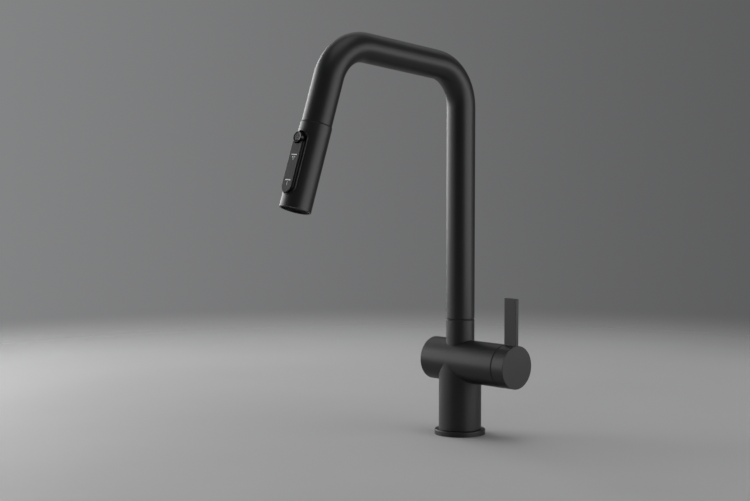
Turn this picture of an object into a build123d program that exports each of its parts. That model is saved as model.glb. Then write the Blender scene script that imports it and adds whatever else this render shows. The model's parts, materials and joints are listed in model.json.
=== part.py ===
from build123d import *
import os
from math import asin, cos, degrees, radians, sin, sqrt, tan

# A pull-down kitchen faucet, in millimetres.
# The origin is the base's centre on the deck: +X is the lever's side, -Y the front, +Z up.

os.makedirs("parts", exist_ok=True)

# Fits, each a radial or an end clearance
running_fit = 0.05
close_fit = 0.1
loose_fit = 0.4
edge_break = 0.4
fine_edge = 0.2

# Column, barrel and base
column_r = 21.0
base_lip = 4.0
base_h = 5.0
base_round = 0.8
gasket_h = 1.0
gasket_width = 4.5
barrel_r = 21.0
barrel_z = 72.8
barrel_left = 34.6
barrel_right = 59.0
barrel_wall = 3.0

# Deck fixing
shank_r = 16.5
shank_wall = 1.7
shank_below = 60.0
shank_socket = 20.0
deck_thickness = 30.0
washer_reach = 10.0
rubber_washer_h = 3.0
steel_washer_h = 2.0
mounting_nut_h = 10.0
mounting_nut_flats = 46.0

# Spout tube
tube_r = 14.0
tube_wall = 1.2
collar_rise = 20.0
swivel_gap = 1.0
swivel_limit = 70.0
swivel_spare = 1.0
slip_washer_step = 0.6
riser_top = 357.9
arm_length = 165.8
arm_rise = 8.0
bend_r = 42.0
leg_length = 80.2
leg_lean = 19.0

# Swivel bearing
collar_wall = 2.4
bush_wall = 1.55
spigot_wall = 2.3
swivel_depth = 21.8
spigot_seat = 12.0
stop_screw_r = 1.9
stop_screw_drop = 10.0
stop_groove_depth = 1.3

# Hose and its ends
hose_r = 6.2
hose_bore_r = 4.0
hose_clearance = 1.3
hose_below = 66.0
waterway_r = 3.1
coupling_r = 7.4
coupling_length = 24.0
coupling_chamfer = 0.8
ring_inset = 2.7
ferrule_wall = 1.2
ferrule_length = 14.0
stem_bore_r = 2.8
stem_neck_r = 4.4
stem_flange_r = 6.4
stem_flange_h = 2.0
stem_flange_drop = 1.6
stem_reach = 10.4
nut_washer_h = 1.6

# Water ports under the body
port_r = 3.5
port_depth = 9.0
passage_r = 2.5
port_wall = 1.2
port_angles = (0.0, 75.0, -75.0)
passage_reach = 11.0
passage_spread = 3.7

# Push-pull cartridge
cartridge_r = 12.0
cartridge_start = 14.0
cartridge_length = 33.0
cartridge_flange_h = 2.6
cartridge_flange_lip = 3.5
spool_r = 6.9
spool_length = 20.0
cartridge_stem_r = 4.0
retainer_h = 3.4
pivot_ring_wall = 5.0
circlip_h = 0.7
circlip_lip = 1.2
circlip_gap = 3.8
o_ring_r = 0.9

# Lever
seam_gap = 0.8
hub_length = 14.8
hub_cap = 2.6
blade_t = 4.0
blade_rise = 45.1
tenon_length = 4.9
flow_limit = 15.0
pivot_pin_r = 0.9
pivot_pin_depth = 2.6
pivot_pin_offset = 1.2
pivot_pin_half = 6.0
pivot_ear_r = 1.6
pivot_ear_half = 1.9
pivot_boss_h = 4.0
neck_half = 2.4
fork_t = 1.4
fork_half = 6.0
fork_drop = 4.5
fork_lift = 5.4

# Spray head
head_gap = 0.4
head_step = 0.7
head_wall = 1.6
head_top_wall = 2.4
mouth_recess = 2.6
dock_depth = 22.8
dock_wall = 1.7
dock_clearance = 0.4
dock_spigot_wall = 1.5
magnet_h = 6.0
keeper_h = 2.6
check_valve_r = 5.9
check_valve_h = 11.0
valve_hole_r = 0.9
valve_hole_count = 3

# Control panel on the head's front, heights counted from the head's axis
panel_start = 8.9
panel_length = 60.9
panel_clearance = 0.2
panel_width = 15.8
panel_proud = 0.3
bezel_wall = 1.0
tray_back = 9.5
tray_floor = 1.2
button_r = 5.0
button_drop = 7.9
button_face = 18.6
button_cap = 3.0
button_chamfer = 0.6
button_travel = 1.5
button_wall = 1.4
button_stem_r = 1.4
button_stem_foot = 3.6
pad_width = 13.0
pad_face = 17.0
pad_back = 13.6
pad_gap = 0.8
pad_plate = 0.6
pad_groove = 0.9
pad_groove_depth = 0.7
pad_end_gap = 0.6
pad_horn = 3.25
rocker_pin_r = 0.8
rocker_pin_height = 12.2
rocker_lug_r = 1.2
rocker_lug_half = 2.6
rocker_ear_t = 1.2
rocker_limit = 5.0
peg_r = 0.9
peg_foot = 2.5
mark_length = 6.9
mark_width = 1.1
mark_depth = 0.4
mark_spread = 11.85
mark_shift = 0.5
spool_land_r = 4.0
spool_neck_r = 2.0
diverter_length = 32.0
diverter_play = 5.0
spool_ring_inset = 3.6

# Spray outlet
aerator_r = 6.0
aerator_seat = 1.8
aerator_circles = (2.1, 4.2)
aerator_holes = 8
nozzle_count = 18
nozzle_r = 0.7
face_plate_h = 6.6
face_ring_wall = 1.6
face_ring_h = 4.2
face_ring_proud = 0.8
face_seal_h = 1.0
chamber_r = 9.2

# Sizes that follow from those above
base_r = column_r + base_lip
barrel_bore_r = barrel_r - barrel_wall
pivot_sleeve_r = barrel_bore_r - pivot_ring_wall
collar_top = barrel_z + barrel_r + collar_rise
hub_start = barrel_right + seam_gap
hub_end = hub_start + hub_length
tube_bore_r = tube_r - tube_wall
riser_foot = collar_top + swivel_gap
swivel_socket_r = tube_r - collar_wall
spigot_r = swivel_socket_r - bush_wall - running_fit
spigot_bore_r = spigot_r - spigot_wall
swivel_floor = collar_top - swivel_depth
stop_screw_z = collar_top - stop_screw_drop
hose_passage_r = hose_r + hose_clearance
ferrule_bore_r = hose_r + close_fit
ferrule_r = ferrule_bore_r + ferrule_wall
shank_top = base_h + shank_socket
port_circle = hose_passage_r + port_wall + passage_r
retainer_start = cartridge_start + cartridge_length + cartridge_flange_h
pivot_ring_start = retainer_start + retainer_h + 2 * close_fit
pivot_ring_end = barrel_right - loose_fit
pin_x = hub_start + pivot_pin_offset
pin_z = barrel_z - barrel_r + pivot_pin_depth
neck_length = fork_t + 2 * (fork_drop * tan(radians(flow_limit)) + loose_fit)
head_top = leg_length + head_gap
head_r = tube_r + head_step
core_r = head_r - head_wall - 2 * close_fit
core_top = head_top + head_top_wall + close_fit
dock_bore_r = tube_bore_r - close_fit - dock_wall
dock_spigot_r = dock_bore_r - dock_clearance
nut_bore_r = dock_spigot_r - dock_spigot_wall
dock_top = leg_length - dock_depth
panel_top = head_top + panel_start
panel_end = panel_top + panel_length
panel_mid = (panel_top + panel_end) / 2
tray_front = tray_back + tray_floor
button_at = panel_top + button_drop
button_back = tray_front + button_travel + loose_fit
pad_top = button_at + button_r + pad_gap
pad_end = panel_end - bezel_wall - pad_end_gap
pivot_at = (pad_top + pad_end) / 2
core_end = panel_end + panel_clearance
face_back = core_end + face_seal_h
face_front = face_back + face_plate_h
mouth = face_front + mouth_recess

# The spout's centreline: up the riser, along the rising arm and down the leaning leg
corner_a = Vector(0, 0, riser_top)
corner_b = corner_a + Vector(0, -cos(radians(arm_rise)), sin(radians(arm_rise))) * arm_length
leg_way = Vector(0, -sin(radians(leg_lean)), -cos(radians(leg_lean)))

# Working planes. Each normal is the axis that turned pieces stand on.
deck = Plane.XY
barrel = Plane(origin=(0, 0, barrel_z), x_dir=(0, 1, 0), z_dir=(1, 0, 0))
leg = Plane(origin=corner_b, x_dir=(1, 0, 0), z_dir=leg_way)
down_leg = Axis(leg.origin, leg.z_dir)
out_of_panel = Axis(leg.origin, leg.y_dir)
rear = Plane(origin=(0, 0, stop_screw_z), x_dir=(1, 0, 0), z_dir=(0, 1, 0))
hinge = Plane(origin=(pin_x, 0, pin_z), x_dir=(1, 0, 0), z_dir=(0, -1, 0))


def front(height, distance):
    """A plane that faces out of the head's front, at a height over its axis and a distance down it."""
    origin = leg.from_local_coords((0, height, distance))
    return Plane(origin=origin, x_dir=leg.x_dir, z_dir=leg.y_dir)


def across(height, distance):
    """A plane across the head, whose normal runs from side to side."""
    origin = leg.from_local_coords((0, height, distance))
    return Plane(origin=origin, x_dir=leg.y_dir, z_dir=leg.x_dir)


def bar(plane, start, stop, radius, mode=Mode.ADD):
    """A round bar on a plane's axis, between two distances from the plane."""
    with Locations(plane.offset(start)):
        Cylinder(radius, stop - start, align=(Align.CENTER, Align.CENTER, Align.MIN), mode=mode)


def sleeve(plane, start, stop, outer, inner):
    """A round sleeve on a plane's axis."""
    bar(plane, start, stop, outer)
    bar(plane, start, stop, inner, Mode.SUBTRACT)


def o_ring(plane, at, outer, mode=Mode.ADD, swell=0.0):
    """A rubber ring, or with a swell the groove that it lies in."""
    with Locations(plane.offset(at)):
        Torus(outer - o_ring_r, o_ring_r + swell, mode=mode)


def block(plane, size, centre, mode=Mode.ADD):
    """A square block, its size and centre counted along a plane's axes."""
    with Locations(plane):
        with Locations(centre):
            Box(*size, mode=mode)


def waterways():
    """The slanting passages between the ports under the body and the cartridge."""
    for angle in port_angles:
        across_port = Vector(port_circle, 0, 0).rotate(Axis.Z, angle)
        foot = across_port + Vector(0, 0, shank_top + port_depth - passage_r)
        side = passage_spread * sin(radians(angle))
        end = Vector(cartridge_start + passage_reach, side, barrel_z - spool_r / 2)
        bar(Plane(origin=foot, z_dir=end - foot), 0, (end - foot).length, passage_r, Mode.SUBTRACT)


# Body: column and cross barrel in one casting
with BuildPart() as body_casting:
    bar(deck, base_h, barrel_z, column_r)
    chamfer(body_casting.edges().group_by(Axis.Z)[0], edge_break)
    bar(barrel, -barrel_left, barrel_right, barrel_r)
    chamfer(body_casting.edges().group_by(Axis.X)[0], edge_break)
    chamfer(body_casting.edges().group_by(Axis.X)[-1], edge_break)
    bar(deck, base_h, collar_top, hose_passage_r, Mode.SUBTRACT)
    bar(deck, swivel_floor, collar_top, swivel_socket_r, Mode.SUBTRACT)
    bar(deck, base_h, shank_top, shank_r + close_fit, Mode.SUBTRACT)
    for angle in port_angles:
        port = Vector(port_circle, 0, shank_top).rotate(Axis.Z, angle)
        bar(Plane(origin=port), 0, port_depth, port_r, Mode.SUBTRACT)
    waterways()
    cartridge_end = cartridge_start + cartridge_length
    bar(barrel, cartridge_start, barrel_right, cartridge_r + 2 * close_fit, Mode.SUBTRACT)
    bar(barrel, cartridge_end, barrel_right, barrel_bore_r, Mode.SUBTRACT)
    plug_h = barrel_wall + 2 * o_ring_r
    bar(barrel, -barrel_left, plug_h - barrel_left, barrel_bore_r, Mode.SUBTRACT)
    bar(barrel, -barrel_left, -cartridge_start, barrel_bore_r - o_ring_r, Mode.SUBTRACT)

# Swivel collar: a turned socket brazed on top of the barrel
with BuildPart() as swivel_collar:
    bar(deck, barrel_z, collar_top, tube_r)
    chamfer(swivel_collar.edges().group_by(Axis.Z)[-1], edge_break)
    bar(barrel, -barrel_left, barrel_right, barrel_r + running_fit / 2, Mode.SUBTRACT)
    bar(deck, swivel_floor, collar_top, swivel_socket_r, Mode.SUBTRACT)
    bar(rear, 0, tube_r, stop_screw_r + close_fit, Mode.SUBTRACT)

# Base ring with a groove underneath for its gasket
gasket_outer = base_r - base_lip / 2
gasket_inner = gasket_outer - gasket_width
with BuildPart() as base_ring:
    bar(deck, 0, base_h, base_r)
    fillet(base_ring.edges().group_by(Axis.Z)[-1], base_round)
    bar(deck, 0, base_h, shank_r + loose_fit, Mode.SUBTRACT)
    with BuildSketch(deck):
        Circle(gasket_outer)
        Circle(gasket_inner, mode=Mode.SUBTRACT)
    extrude(amount=gasket_h, mode=Mode.SUBTRACT)

with BuildPart() as base_gasket:
    sleeve(deck, 0, gasket_h, gasket_outer - close_fit, gasket_inner + close_fit)

# Threaded shank and what clamps the deck from below
with BuildPart() as shank:
    sleeve(deck, -shank_below, shank_top, shank_r, shank_r - shank_wall)
    chamfer(shank.edges().group_by(Axis.Z)[0], edge_break)

rubber_washer_foot = -deck_thickness - rubber_washer_h
steel_washer_foot = rubber_washer_foot - steel_washer_h
nut_foot = steel_washer_foot - mounting_nut_h
with BuildPart() as deck_washer:
    sleeve(deck, rubber_washer_foot, -deck_thickness, shank_r + washer_reach, shank_r + loose_fit)

with BuildPart() as clamp_washer:
    sleeve(deck, steel_washer_foot, rubber_washer_foot, shank_r + washer_reach, shank_r + loose_fit)

with BuildPart() as mounting_nut:
    with BuildSketch(deck.offset(nut_foot)):
        RegularPolygon(mounting_nut_flats / 2, 6, major_radius=False)
        Circle(shank_r + close_fit, mode=Mode.SUBTRACT)
    extrude(amount=mounting_nut_h)

# Plug that closes the barrel's far end
plug_ring_x = plug_h / 2 - barrel_left
with BuildPart() as barrel_end_plug:
    bar(barrel, -barrel_left, plug_h - barrel_left, barrel_bore_r - close_fit)
    chamfer(barrel_end_plug.edges().group_by(Axis.X)[0], edge_break)
    o_ring(barrel, plug_ring_x, barrel_bore_r - close_fit, Mode.SUBTRACT, close_fit)

with BuildPart() as end_plug_o_ring:
    o_ring(barrel, plug_ring_x, barrel_bore_r - close_fit)

# Cartridge shell, bored for the spool and with a flange under the retainer nut
cartridge_foot = cartridge_start + close_fit
guide_start = cartridge_end - cartridge_flange_h
shell_rings = (cartridge_foot + ring_inset, cartridge_end - ring_inset)
with BuildPart() as cartridge_shell:
    bar(barrel, cartridge_foot, cartridge_end, cartridge_r)
    bar(barrel, cartridge_end, retainer_start, cartridge_r + cartridge_flange_lip)
    bar(barrel, cartridge_foot, guide_start, spool_r + close_fit, Mode.SUBTRACT)
    bar(barrel, cartridge_foot, retainer_start, cartridge_stem_r + close_fit, Mode.SUBTRACT)
    waterways()
    for ring_x in shell_rings:
        o_ring(barrel, ring_x, cartridge_r, Mode.SUBTRACT, close_fit)

with BuildPart() as cartridge_o_rings:
    for ring_x in shell_rings:
        o_ring(barrel, ring_x, cartridge_r)

# Retainer nut with the sleeve that the pivot ring turns on, and the clip at its end
retainer_end = retainer_start + retainer_h
circlip_x = pivot_ring_end + close_fit
sleeve_end = circlip_x + 2 * circlip_h
with BuildPart() as retainer_nut:
    bar(barrel, retainer_start, retainer_end, barrel_bore_r - 2 * close_fit)
    bar(barrel, retainer_end, sleeve_end, pivot_sleeve_r)
    bar(barrel, retainer_start, sleeve_end, pivot_sleeve_r - barrel_wall, Mode.SUBTRACT)
    with BuildSketch(barrel.offset(circlip_x)):
        Circle(pivot_sleeve_r)
        Circle(pivot_sleeve_r - circlip_h, mode=Mode.SUBTRACT)
    extrude(amount=circlip_h + close_fit / 2, mode=Mode.SUBTRACT)

with BuildPart() as ring_circlip:
    clip_inner = pivot_sleeve_r - circlip_h + close_fit
    sleeve(barrel, circlip_x, circlip_x + circlip_h, pivot_sleeve_r + circlip_lip, clip_inner)
    gap_size = (circlip_gap, pivot_sleeve_r, 2 * circlip_h)
    block(barrel, gap_size, (0, pivot_sleeve_r, circlip_x + circlip_h / 2), Mode.SUBTRACT)

# Pivot ring: turns in the barrel's end and carries the lever's hinge on one ear
with BuildPart() as pivot_ring:
    ring_r = barrel_bore_r - loose_fit
    sleeve(barrel, pivot_ring_start, pivot_ring_end, ring_r, pivot_sleeve_r + running_fit)
    with BuildSketch(hinge):
        Circle(pivot_ear_r)
        ear_back = (pivot_ring_start + pivot_ring_end) / 2 - pin_x
        with Locations(((ear_back + pivot_ear_r) / 2, pivot_ear_r)):
            Rectangle(pivot_ear_r - ear_back, pivot_ear_r)
        with Locations((0, pivot_ear_r / 2)):
            Rectangle(2 * pivot_ear_r, pivot_ear_r)
    extrude(amount=pivot_ear_half, both=True)
    bar(barrel, pivot_ring_start, pivot_ring_end, pivot_sleeve_r + running_fit, Mode.SUBTRACT)
    bar(hinge, -pivot_ear_half, pivot_ear_half, pivot_pin_r + running_fit / 2, Mode.SUBTRACT)

with BuildPart() as pivot_pin:
    bar(hinge, -pivot_pin_half, pivot_pin_half, pivot_pin_r)

# Cartridge stem: a spool inside the shell and a flat-sided neck that the lever's fork pulls
fork_x = pin_x + neck_length / 2
neck_tall = 2 * sqrt(cartridge_stem_r ** 2 - neck_half ** 2)
neck_start = fork_x + fork_t / 2 - neck_length / 2
stem_end = neck_start + neck_length + cartridge_stem_r / 2
spool_start = cartridge_start + cartridge_stem_r
stem_rings = (spool_start + ring_inset, spool_start + spool_length - ring_inset)
with BuildPart() as cartridge_stem:
    bar(barrel, spool_start, spool_start + spool_length, spool_r)
    bar(barrel, spool_start + spool_length, neck_start, cartridge_stem_r)
    bar(barrel, neck_start + neck_length, stem_end, cartridge_stem_r)
    with BuildSketch(barrel.offset(neck_start)):
        Rectangle(2 * neck_half, neck_tall)
    extrude(amount=neck_length)
    for ring_x in stem_rings:
        o_ring(barrel, ring_x, spool_r, Mode.SUBTRACT, close_fit)

with BuildPart() as stem_o_rings:
    for ring_x in stem_rings:
        o_ring(barrel, ring_x, spool_r)

# Lever hub: a cup over the barrel's end, hinged at its lower rim
tenon_mid = hub_end - hub_cap - tenon_length / 2
boss_low = barrel_wall / 2
boss_l = 2 * pivot_ear_r
with BuildPart() as lever_hub:
    bar(barrel, hub_start, hub_end, barrel_r)
    chamfer(lever_hub.edges().group_by(Axis.X)[0], edge_break)
    chamfer(lever_hub.edges().group_by(Axis.X)[-1], fine_edge)
    bar(barrel, hub_start, hub_end - hub_cap, barrel_bore_r, Mode.SUBTRACT)
    boss_size = (2 * (pivot_pin_half + loose_fit), pivot_boss_h, boss_l)
    boss_centre = (0, boss_low + pivot_boss_h / 2 - barrel_r, hub_start + boss_l / 2 + close_fit)
    block(barrel, boss_size, boss_centre)
    with BuildSketch(barrel.offset(fork_x)):
        fork_top = barrel_bore_r + edge_break
        with Locations((0, (fork_top - fork_drop) / 2)):
            Rectangle(2 * fork_half, fork_top + fork_drop)
        with Locations((0, (fork_lift - 2 * fork_drop) / 2)):
            slot_w = 2 * (neck_half + loose_fit)
            Rectangle(slot_w, fork_lift + 2 * fork_drop, mode=Mode.SUBTRACT)
    extrude(amount=fork_t)
    slot_low = pivot_pin_depth - pivot_ear_r - 2 * close_fit
    slot_h = boss_low + pivot_boss_h + loose_fit - slot_low
    ear_slot = (2 * (pivot_ear_half + loose_fit), slot_h, boss_l + 2 * loose_fit)
    ear_centre = (0, slot_low + slot_h / 2 - barrel_r, hub_start + ear_slot[2] / 2 - loose_fit)
    block(barrel, ear_slot, ear_centre, Mode.SUBTRACT)
    hole_half = pivot_pin_half + close_fit
    bar(hinge, -hole_half, hole_half, pivot_pin_r + running_fit, Mode.SUBTRACT)
    tenon_slot = (blade_t, 2 * barrel_wall, tenon_length + 2 * running_fit)
    block(barrel, tenon_slot, (0, barrel_r, tenon_mid), Mode.SUBTRACT)

# Lever blade: a flat plate as wide as the hub is long, with a tenon in the hub's wall
blade_low = barrel_z + barrel_r - blade_t
blade_top = barrel_z + barrel_r + blade_rise
tenon_low = barrel_bore_r + fine_edge
tenon_high = barrel_r + edge_break
with BuildPart() as lever_blade:
    with BuildSketch(Plane.XZ):
        with Locations(((hub_start + hub_end) / 2, (blade_low + blade_top) / 2)):
            Rectangle(hub_length, blade_top - blade_low)
    extrude(amount=blade_t / 2, both=True)
    bar(barrel, hub_start, hub_end, barrel_r + running_fit / 2, Mode.SUBTRACT)
    chamfer(lever_blade.edges().filter_by(Axis.Z), fine_edge)
    tenon_size = (blade_t - 2 * running_fit, tenon_high - tenon_low, tenon_length)
    block(barrel, tenon_size, (0, (tenon_low + tenon_high) / 2, tenon_mid))

# Spout tube, bent from one length
with BuildPart() as spout_tube:
    with BuildLine():
        FilletPolyline((0, 0, riser_foot), corner_a, corner_b, leg.from_local_coords((0, 0, leg_length)),
                       radius=bend_r)
    with BuildSketch(deck.offset(riser_foot)):
        Circle(tube_r)
        Circle(tube_bore_r, mode=Mode.SUBTRACT)
    sweep()
    chamfer(spout_tube.edges().group_by(Axis.Z)[0].sort_by(SortBy.LENGTH)[-1], edge_break)

# Swivel spigot in the riser's foot, with the arc groove that the stop screw runs in
groove_r = spigot_r - stop_groove_depth
groove_half = swivel_limit + degrees(asin(stop_screw_r / groove_r)) + swivel_spare
groove_from = radians(90 - groove_half)
groove_plane = Plane(origin=(0, 0, stop_screw_z), x_dir=(cos(groove_from), sin(groove_from), 0),
                     z_dir=(sin(groove_from), -cos(groove_from), 0))
with BuildPart() as spout_spigot:
    bar(deck, swivel_floor + loose_fit, riser_foot, spigot_r)
    bar(deck, riser_foot, riser_foot + spigot_seat, tube_bore_r - close_fit)
    bar(deck, swivel_floor, riser_foot + spigot_seat, spigot_bore_r, Mode.SUBTRACT)
    with BuildSketch(groove_plane):
        with Locations((groove_r + stop_groove_depth, 0)):
            Rectangle(2 * stop_groove_depth, 2 * (stop_screw_r + loose_fit))
    revolve(axis=Axis.Z, revolution_arc=2 * groove_half, mode=Mode.SUBTRACT)

with BuildPart() as glide_bush:
    sleeve(deck, swivel_floor, collar_top, swivel_socket_r - running_fit, spigot_r + running_fit)
    bar(rear, 0, tube_r, stop_screw_r + close_fit, Mode.SUBTRACT)

with BuildPart() as slip_washer:
    sleeve(deck, collar_top, riser_foot - running_fit, tube_r - slip_washer_step, spigot_r + close_fit)

with BuildPart() as stop_screw:
    bar(rear, groove_r + 2 * close_fit, tube_r - edge_break, stop_screw_r)
    with BuildSketch(rear.offset(tube_r - edge_break)):
        RegularPolygon(stop_screw_r / 2, 6)
    extrude(amount=-stop_screw_r, mode=Mode.SUBTRACT)

# Dock for the spray head in the leg's end
with BuildPart() as dock_sleeve:
    sleeve(leg, dock_top, leg_length - close_fit, tube_bore_r - close_fit, dock_bore_r)

magnet_r = tube_bore_r - close_fit
with BuildPart() as dock_magnet:
    magnet_end = dock_top - close_fit
    sleeve(leg, magnet_end - magnet_h, magnet_end, magnet_r, ferrule_r + 2 * loose_fit)

# Pull-out hose, up the riser and down the leg, and its coupling below the deck
hose_end = head_top - stem_reach
with BuildPart() as hose:
    with BuildLine():
        FilletPolyline((0, 0, -hose_below), corner_a, corner_b, leg.from_local_coords((0, 0, hose_end)),
                       radius=bend_r)
    with BuildSketch(deck.offset(-hose_below)):
        Circle(hose_r)
        Circle(hose_bore_r, mode=Mode.SUBTRACT)
    sweep()

with BuildPart() as hose_coupling:
    grip_h = coupling_length / 2
    bar(deck, -hose_below - grip_h, -hose_below, coupling_r)
    chamfer(hose_coupling.edges().group_by(Axis.Z)[-1], coupling_chamfer)
    bar(deck, -hose_below - coupling_length, -hose_below - grip_h, hose_r)
    bar(deck, -hose_below - coupling_length, -hose_below, waterway_r, Mode.SUBTRACT)
    ring_z = -hose_below - coupling_length + ring_inset
    o_ring(deck, ring_z, hose_r, Mode.SUBTRACT, close_fit)

with BuildPart() as coupling_o_ring:
    o_ring(deck, ring_z, hose_r)

# Hose end: a stem pushed into the hose and a ferrule crimped round it
stem_collar = hose_end + stem_flange_h
flange_end = head_top + stem_flange_drop
with BuildPart() as hose_stem:
    bar(leg, hose_end - ferrule_length, hose_end, hose_bore_r - close_fit)
    bar(leg, hose_end, stem_collar, hose_r)
    bar(leg, stem_collar, flange_end, stem_neck_r)
    bar(leg, flange_end - stem_flange_h, flange_end, stem_flange_r)
    bar(leg, hose_end - ferrule_length, flange_end, stem_bore_r, Mode.SUBTRACT)

with BuildPart() as hose_ferrule:
    sleeve(leg, hose_end - ferrule_length, hose_end + close_fit, ferrule_r, ferrule_bore_r)

# Nut and washer that join the head to the flange on the hose's stem
nut_start = stem_collar + loose_fit
flange_start = flange_end - stem_flange_h - loose_fit
nut_end = flange_end + nut_washer_h + 2 * close_fit
with BuildPart() as swivel_nut:
    bar(leg, nut_start, nut_end, nut_bore_r - close_fit)
    bar(leg, nut_start, nut_end, stem_neck_r + close_fit, Mode.SUBTRACT)
    bar(leg, flange_start, nut_end, stem_flange_r + 2 * close_fit, Mode.SUBTRACT)

with BuildPart() as nut_washer:
    washer_start = flange_end + close_fit
    sleeve(leg, washer_start, washer_start + nut_washer_h, stem_flange_r, stem_bore_r + close_fit)

# Spray head's shell: a tube with a closed top and a stadium window at its front
with BuildPart() as head_shell:
    bar(leg, head_top, mouth, head_r)
    chamfer(head_shell.edges().group_by(down_leg)[0], edge_break)
    chamfer(head_shell.edges().group_by(down_leg)[-1], fine_edge)
    bar(leg, head_top + head_top_wall, mouth, head_r - head_wall, Mode.SUBTRACT)
    bar(leg, head_top, mouth, dock_spigot_r + close_fit, Mode.SUBTRACT)
    with BuildSketch(front(0, panel_mid)):
        SlotOverall(panel_length + 2 * close_fit, panel_width + 2 * close_fit, rotation=90)
    extrude(amount=2 * head_r, mode=Mode.SUBTRACT)

# Waterway core: docking spigot, check valve bore, diverter bore and outlet chamber
keeper_top = dock_top
spigot_top = keeper_top + keeper_h
valve_end = nut_end + check_valve_h
diverter_start = pivot_at - diverter_length / 2
diverter_end = pivot_at + diverter_length / 2
chamber_start = diverter_end + diverter_play
peg_swing = rocker_pin_height * tan(radians(rocker_limit))
peg_slot = (2 * (peg_r + loose_fit), tray_back, 2 * (peg_r + peg_swing + close_fit))
with BuildPart() as head_core:
    bar(leg, spigot_top, core_top, dock_spigot_r)
    bar(leg, core_top, core_end, core_r)
    flat_size = (2 * head_r, head_r, panel_length + 2 * bezel_wall)
    flat_centre = (0, tray_back - close_fit + head_r / 2, panel_mid)
    block(leg, flat_size, flat_centre, Mode.SUBTRACT)
    bar(leg, spigot_top, nut_end, nut_bore_r, Mode.SUBTRACT)
    bar(leg, nut_end, valve_end, check_valve_r + close_fit, Mode.SUBTRACT)
    bar(leg, valve_end, chamber_start, waterway_r, Mode.SUBTRACT)
    bar(leg, diverter_start - diverter_play, chamber_start, spool_land_r + running_fit, Mode.SUBTRACT)
    bar(leg, chamber_start, core_end, chamber_r, Mode.SUBTRACT)
    bar(front(0, button_at), 0, tray_back, button_stem_r + close_fit, Mode.SUBTRACT)
    block(leg, peg_slot, (0, tray_back / 2, pivot_at), Mode.SUBTRACT)

with BuildPart() as keeper_ring:
    sleeve(leg, keeper_top + close_fit, spigot_top, dock_spigot_r, ferrule_r + 2 * loose_fit)

with BuildPart() as check_valve:
    sleeve(leg, nut_end + close_fit, valve_end - close_fit, check_valve_r, stem_bore_r)
    with BuildSketch(leg.offset(valve_end - stem_bore_r)):
        Circle(check_valve_r)
        with PolarLocations(stem_bore_r - valve_hole_r - edge_break, valve_hole_count):
            Circle(valve_hole_r, mode=Mode.SUBTRACT)
    extrude(amount=stem_bore_r / 2)

# Panel frame: a tray in the head's window, with ears for the rocker's pin
ear_side = rocker_lug_half + loose_fit
ear_top = pad_back - loose_fit
with BuildPart() as panel_bezel:
    with BuildSketch(front(tray_back, panel_mid)):
        SlotOverall(panel_length, panel_width, rotation=90)
    extrude(amount=head_r)
    bar(leg, panel_top - head_r, panel_end + head_r, head_r + panel_proud, Mode.INTERSECT)
    with BuildSketch(front(tray_front, panel_mid)):
        inner_length = panel_length - 2 * bezel_wall
        SlotOverall(inner_length, panel_width - 2 * bezel_wall, rotation=90)
    extrude(amount=head_r, mode=Mode.SUBTRACT)
    for side in (-1, 1):
        ear_size = (rocker_ear_t, ear_top - tray_back, 4 * rocker_pin_r)
        ear_mid = side * (ear_side + rocker_ear_t / 2)
        block(leg, ear_size, (ear_mid, (ear_top + tray_back) / 2, pivot_at))
    pin_reach = ear_side + rocker_ear_t
    pin_hole = rocker_pin_r + running_fit / 2
    bar(across(rocker_pin_height, pivot_at), -pin_reach, pin_reach, pin_hole, Mode.SUBTRACT)
    block(leg, peg_slot, (0, tray_back, pivot_at), Mode.SUBTRACT)
    bar(front(0, button_at), 0, head_r, button_stem_r + close_fit, Mode.SUBTRACT)

with BuildPart() as rocker_pin:
    bar(across(rocker_pin_height, pivot_at), -pin_reach, pin_reach, rocker_pin_r)

# Pause button with its stem and return spring
button_roof = button_face - button_cap
with BuildPart() as pause_button:
    bar(front(0, button_at), button_back, button_face, button_r)
    chamfer(pause_button.edges().group_by(out_of_panel)[-1], button_chamfer)
    bar(front(0, button_at), button_back, button_roof, button_r - button_wall, Mode.SUBTRACT)
    stem_socket = button_roof + button_stem_r
    bar(front(0, button_at), button_back, stem_socket, button_stem_r + running_fit / 2, Mode.SUBTRACT)

with BuildPart() as button_stem:
    bar(front(0, button_at), button_stem_foot, stem_socket, button_stem_r)

with BuildPart() as button_spring:
    spring_r = button_r - button_wall - loose_fit
    sleeve(front(0, button_at), tray_front + close_fit, button_roof - close_fit, spring_r,
           button_stem_r + loose_fit)

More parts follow.
